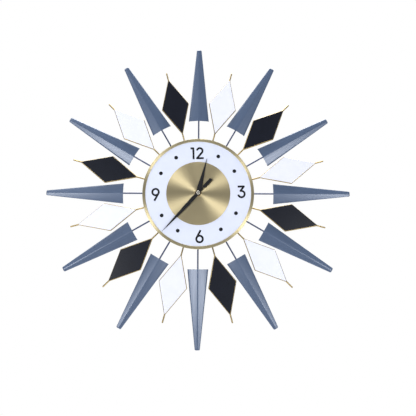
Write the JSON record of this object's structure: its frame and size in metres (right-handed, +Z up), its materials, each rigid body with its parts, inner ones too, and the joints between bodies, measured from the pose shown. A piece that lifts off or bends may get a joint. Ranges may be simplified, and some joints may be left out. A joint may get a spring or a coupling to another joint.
{
  "type": "wall clock",
  "caption": "Sunburst wall clock: folded slate blades and gold wire diamonds round a white dial with a spun gold centre, black hands and a quartz movement.",
  "frame": {"origin": "on the hands' axis, at the flat back of the movement case, where it meets the wall", "axes": "+Z up, the dial faces -Y, +X to the right as seen from the front"},
  "size_m": [0.6, 0.04, 0.6],
  "materials": {
    "slate_paint": "satin slate blue paint on folded steel sheet",
    "rod_paint": "dark slate paint on steel rod",
    "gold_wire": "satin gold wire",
    "white_board": "smooth white lacquer on thin board",
    "black_board": "satin black lacquer on thin board",
    "hub_wood": "black painted fibreboard",
    "spacer_wood": "bare fibreboard",
    "dial_white": "pale blue white lacquered board",
    "rim_gold": "satin gold turned rim",
    "spun_gold": "circular brushed gold disc",
    "black_print": "printed black ink",
    "hand_black": "black painted aluminium",
    "cap_metal": "bright pale gold cap",
    "case_plastic": "black moulded plastic",
    "plate_plastic": "natural moulded plastic",
    "gear_plastic": "natural acetal gear",
    "knob_plastic": "black moulded thumb knob",
    "magnet": "sintered magnet",
    "motor_steel": "bright soft iron sheet",
    "coil_copper": "enamelled copper winding",
    "board_green": "green circuit board",
    "battery_shell": "plain printed cell sleeve",
    "contact_steel": "nickel plated spring steel",
    "nut_brass": "machined brass",
    "screw_steel": "zinc plated screws",
    "washer_rubber": "black rubber washer"
  },
  "bodies": {
    "clock_frame": {"blade_01": "slate_paint", "blade_02": "slate_paint", "blade_03": "slate_paint", "blade_04": "slate_paint", "blade_05": "slate_paint", "blade_06": "slate_paint", "blade_07": "slate_paint", "blade_08": "slate_paint", "blade_09": "slate_paint", "blade_10": "slate_paint", "blade_11": "slate_paint", "blade_12": "slate_paint", "blade_rods": "rod_paint", "diamond_frame_01": "gold_wire", "diamond_frame_02": "gold_wire", "diamond_frame_03": "gold_wire", "diamond_frame_04": "gold_wire", "diamond_frame_05": "gold_wire", "diamond_frame_06": "gold_wire", "diamond_frame_07": "gold_wire", "diamond_frame_08": "gold_wire", "diamond_frame_09": "gold_wire", "diamond_frame_10": "gold_wire", "diamond_frame_11": "gold_wire", "diamond_frame_12": "gold_wire", "white_panels": "white_board", "black_panels": "black_board", "hub_board": "hub_wood", "core_spacer": "spacer_wood", "dial_plate": "dial_white", "dial_rim": "rim_gold", "centre_disc": "spun_gold", "dial_print": "black_print", "movement_case": "case_plastic", "movement_cover": "case_plastic", "middle_plate": "plate_plastic", "stator": "motor_steel", "coil_core": "motor_steel", "coil": "coil_copper", "circuit_board": "board_green", "battery": "battery_shell", "battery_contacts": "contact_steel", "shaft_bushing": "nut_brass", "hex_nut": "nut_brass", "ray_screws": "screw_steel", "rubber_washer": "washer_rubber"},
    "seconds_group": {"seconds_wheel": "gear_plastic", "second_hand": "hand_black", "second_hand_cap": "cap_metal"},
    "intermediate_group": {"intermediate_wheel": "gear_plastic"},
    "rotor_group": {"rotor_pinion": "gear_plastic", "rotor_magnet": "magnet"},
    "third_group": {"third_wheel": "gear_plastic"},
    "centre_group": {"centre_wheel": "gear_plastic"},
    "minute_group": {"cannon_pinion": "gear_plastic", "minute_hand": "hand_black"},
    "motion_group": {"motion_wheel": "gear_plastic"},
    "setting_group": {"setting_knob": "knob_plastic"},
    "hour_group": {"hour_wheel": "gear_plastic", "hour_hand": "hand_black"}
  },
  "joints": [
    {"name": "seconds_spin", "type": "hinge", "parent": "clock_frame", "child": "seconds_group", "pos_m": [0, -0.01, 0], "axis": [0, 1, 0], "continuous": true},
    {"name": "intermediate_spin", "type": "hinge", "parent": "clock_frame", "child": "intermediate_group", "pos_m": [0.00906, -0.01, 0.00423], "axis": [0, 1, 0], "continuous": true},
    {"name": "rotor_spin", "type": "hinge", "parent": "clock_frame", "child": "rotor_group", "pos_m": [0.01416, -0.01, 0.01306], "axis": [0, 1, 0], "continuous": true},
    {"name": "third_spin", "type": "hinge", "parent": "clock_frame", "child": "third_group", "pos_m": [-0.01339, -0.01, 0.00236], "axis": [0, 1, 0], "continuous": true},
    {"name": "centre_spin", "type": "hinge", "parent": "clock_frame", "child": "centre_group", "pos_m": [0, -0.01, 0], "axis": [0, 1, 0], "continuous": true},
    {"name": "minute_spin", "type": "hinge", "parent": "clock_frame", "child": "minute_group", "pos_m": [0, -0.01, 0], "axis": [0, 1, 0], "continuous": true},
    {"name": "motion_spin", "type": "hinge", "parent": "clock_frame", "child": "motion_group", "pos_m": [-0.0048, -0.01, 0.00831], "axis": [0, 1, 0], "continuous": true},
    {"name": "setting_spin", "type": "hinge", "parent": "clock_frame", "child": "setting_group", "pos_m": [-0.0048, -0.01, 0.01791], "axis": [0, 1, 0], "continuous": true},
    {"name": "hour_spin", "type": "hinge", "parent": "clock_frame", "child": "hour_group", "pos_m": [0, -0.01, 0], "axis": [0, 1, 0], "continuous": true}
  ],
  "couplings": [
    {"joint": "intermediate_spin", "follows": "seconds_spin", "ratio": -4},
    {"joint": "rotor_spin", "follows": "seconds_spin", "ratio": 30},
    {"joint": "third_spin", "follows": "seconds_spin", "ratio": -0.13333},
    {"joint": "centre_spin", "follows": "seconds_spin", "ratio": 0.016667},
    {"joint": "motion_spin", "follows": "minute_spin", "ratio": -0.33333},
    {"joint": "setting_spin", "follows": "minute_spin", "ratio": 1},
    {"joint": "hour_spin", "follows": "minute_spin", "ratio": 0.083333}
  ]
}
